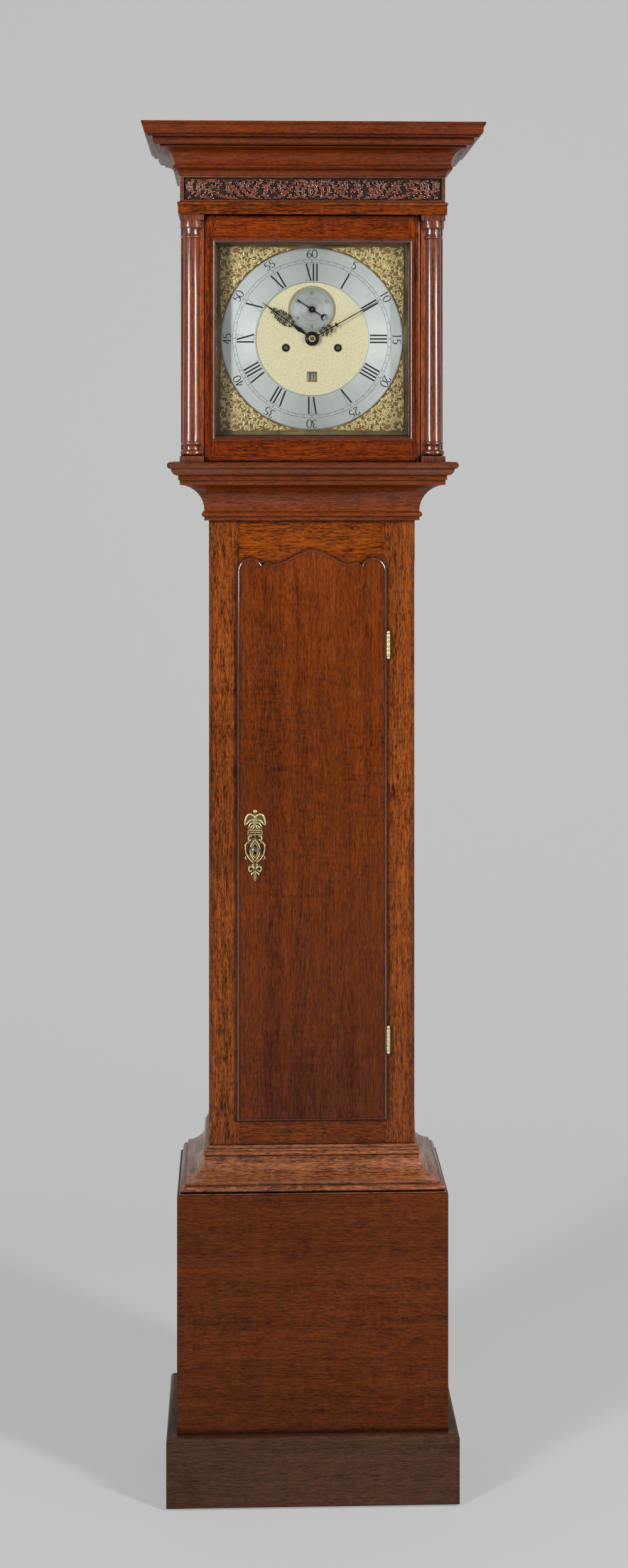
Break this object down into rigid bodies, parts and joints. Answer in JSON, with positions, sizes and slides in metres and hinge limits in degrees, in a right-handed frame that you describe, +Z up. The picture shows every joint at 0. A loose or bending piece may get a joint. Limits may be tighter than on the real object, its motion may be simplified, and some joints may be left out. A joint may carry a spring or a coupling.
{
  "type": "longcase clock",
  "caption": "Oak longcase clock with a square brass dial, turned hood pillars, a waved trunk door, and its weights, pendulum and going train inside.",
  "frame": {"origin": "middle of the clock's bounding box, on the floor under its glides", "axes": "+Z up, -Y to the front, where the dial faces, +X to the right as seen from the front"},
  "size_m": [0.521, 0.276, 2.113],
  "materials": {
    "oak": "polished",
    "oak_light": "polished",
    "oak_dark": "polished",
    "pine": "rough sawn",
    "glass": "clear",
    "brass": "satin",
    "gilt": "cast and lacquered",
    "silvered": "silvered, matt",
    "blued": "blued",
    "steel": "polished",
    "bell_metal": "cast",
    "iron": "as cast",
    "gut": "twisted gut"
  },
  "bodies": {
    "case": {"feet": "steel", "plinth": "oak_dark", "base_panel": "oak", "base_sides": "oak", "base_floor": "pine", "base_moulding": "oak_dark", "trunk_stiles": "oak_light", "trunk_rails": "oak_light", "trunk_sides": "oak", "backboard": "pine", "throat_moulding": "oak", "seatboard": "pine", "hinge_butts": "brass", "front_plate": "brass", "back_plate": "brass", "plate_pillars": "brass", "back_cock": "brass", "bell_stand": "steel", "bell": "bell_metal", "dial_plate": "brass", "chapter_rings": "silvered", "spandrels": "gilt", "line_tops": "gut"},
    "trunk_door": {"trunk_door": "oak", "escutcheon": "gilt", "door_lock": "steel", "hinge_flaps": "brass"},
    "key": {"door_key": "steel"},
    "lock_bolt": {"lock_bolt": "steel"},
    "hood": {"hood_base": "oak", "hood_sides": "oak", "hood_top": "pine", "cornice": "oak", "frieze": "oak", "hood_band": "oak", "hood_pillars": "oak", "dial_mask": "oak_light"},
    "hood_door": {"hood_door": "oak", "hood_glass": "glass", "hood_pivots": "brass"},
    "great_wheel": {"great_wheel": "brass"},
    "going_barrel": {"going_barrel": "brass"},
    "minute": {"centre_wheel": "brass", "minute_hand": "blued"},
    "hour": {"hour_wheel": "brass", "hour_hand": "blued"},
    "motion_wheel": {"minute_wheel": "brass"},
    "third": {"third_wheel": "brass"},
    "escape": {"escape_wheel": "brass", "seconds_hand": "blued"},
    "anchor": {"anchor": "steel"},
    "pendulum": {"pendulum_rod": "steel", "pendulum_bob": "brass"},
    "going_weight": {"going_weight": "iron", "going_line": "gut"},
    "strike_barrel": {"strike_barrel": "brass"},
    "strike_weight": {"strike_weight": "iron", "strike_line": "gut"},
    "hammer": {"hammer": "steel"},
    "date_ring": {"date_ring": "silvered"}
  },
  "joints": [
    {"name": "hood_slide", "type": "slide", "parent": "case", "child": "hood", "axis": [0, -1, 0], "range_m": [0, 0.25]},
    {"name": "hood_door_hinge", "type": "hinge", "parent": "hood", "child": "hood_door", "pos_m": [0.1617, -0.0677, 1.788], "axis": [0, 0, 1], "range_deg": [0, 90]},
    {"name": "trunk_door_hinge", "type": "hinge", "parent": "case", "child": "trunk_door", "pos_m": [0.1185, -0.0412, 1], "axis": [0, 0, 1], "range_deg": [0, 120]},
    {"name": "key_turn", "type": "hinge", "parent": "trunk_door", "child": "key", "pos_m": [-0.0885, -0.04, 1.0015], "axis": [0, -1, 0], "range_deg": [0, 150]},
    {"name": "bolt_slide", "type": "slide", "parent": "trunk_door", "child": "lock_bolt", "axis": [-1, 0, 0], "range_m": [0, 0.007]},
    {"name": "minute_turn", "type": "hinge", "parent": "case", "child": "minute", "pos_m": [0, 0.03, 1.789], "axis": [0, 1, 0], "continuous": true},
    {"name": "hour_turn", "type": "hinge", "parent": "case", "child": "hour", "pos_m": [0, 0.03, 1.789], "axis": [0, 1, 0], "continuous": true},
    {"name": "motion_wheel_turn", "type": "hinge", "parent": "case", "child": "motion_wheel", "pos_m": [-0.02001, 0.03, 1.80972], "axis": [0, 1, 0], "continuous": true},
    {"name": "third_turn", "type": "hinge", "parent": "case", "child": "third", "pos_m": [0.00689, 0.03, 1.81355], "axis": [0, 1, 0], "continuous": true},
    {"name": "escape_turn", "type": "hinge", "parent": "case", "child": "escape", "pos_m": [0, 0.03, 1.8345], "axis": [0, 1, 0], "continuous": true},
    {"name": "great_wheel_turn", "type": "hinge", "parent": "case", "child": "great_wheel", "pos_m": [0.0405, 0.03, 1.775], "axis": [0, 1, 0], "continuous": true},
    {"name": "date_ring_turn", "type": "hinge", "parent": "case", "child": "date_ring", "pos_m": [0, 0.03, 1.789], "axis": [0, 1, 0], "continuous": true},
    {"name": "going_weight_fall", "type": "slide", "parent": "case", "child": "going_weight", "axis": [0, 0, -1], "range_m": [-0.6, 0.2], "deforming": ["going_line"]},
    {"name": "going_barrel_turn", "type": "hinge", "parent": "case", "child": "going_barrel", "pos_m": [0.0405, 0.03, 1.775], "axis": [0, -1, 0], "range_deg": [-2765, 925]},
    {"name": "strike_weight_fall", "type": "slide", "parent": "case", "child": "strike_weight", "axis": [0, 0, -1], "range_m": [-0.6, 0.2], "deforming": ["strike_line"]},
    {"name": "strike_barrel_turn", "type": "hinge", "parent": "case", "child": "strike_barrel", "pos_m": [-0.0405, 0.03, 1.775], "axis": [0, -1, 0], "range_deg": [-2765, 925]},
    {"name": "pendulum_swing", "type": "hinge", "parent": "case", "child": "pendulum", "pos_m": [0, 0.093, 1.85991], "axis": [0, 1, 0], "range_deg": [-2.5, 2.5]},
    {"name": "anchor_rock", "type": "hinge", "parent": "case", "child": "anchor", "pos_m": [0, 0.04, 1.85991], "axis": [0, 1, 0], "range_deg": [-2.6, 2.6]},
    {"name": "hammer_lift", "type": "hinge", "parent": "case", "child": "hammer", "pos_m": [-0.052, 0.024, 1.861], "axis": [0, -1, 0], "range_deg": [0, 14], "stiffness_Nm_per_rad": 0.05, "springref_deg": -17.19}
  ],
  "couplings": [
    {"joint": "hour_turn", "follows": "minute_turn", "ratio": 0.083333},
    {"joint": "motion_wheel_turn", "follows": "minute_turn", "ratio": -1},
    {"joint": "third_turn", "follows": "minute_turn", "ratio": -7.5},
    {"joint": "escape_turn", "follows": "minute_turn", "ratio": 60},
    {"joint": "great_wheel_turn", "follows": "minute_turn", "ratio": -0.083333},
    {"joint": "date_ring_turn", "follows": "minute_turn", "ratio": 0.0013441},
    {"joint": "going_barrel_turn", "follows": "going_weight_fall", "rad_per_m": 80.321},
    {"joint": "strike_barrel_turn", "follows": "strike_weight_fall", "rad_per_m": 80.321},
    {"joint": "anchor_rock", "follows": "pendulum_swing", "ratio": 1},
    {"joint": "bolt_slide", "follows": "key_turn", "m_per_rad": 0.0026738}
  ]
}
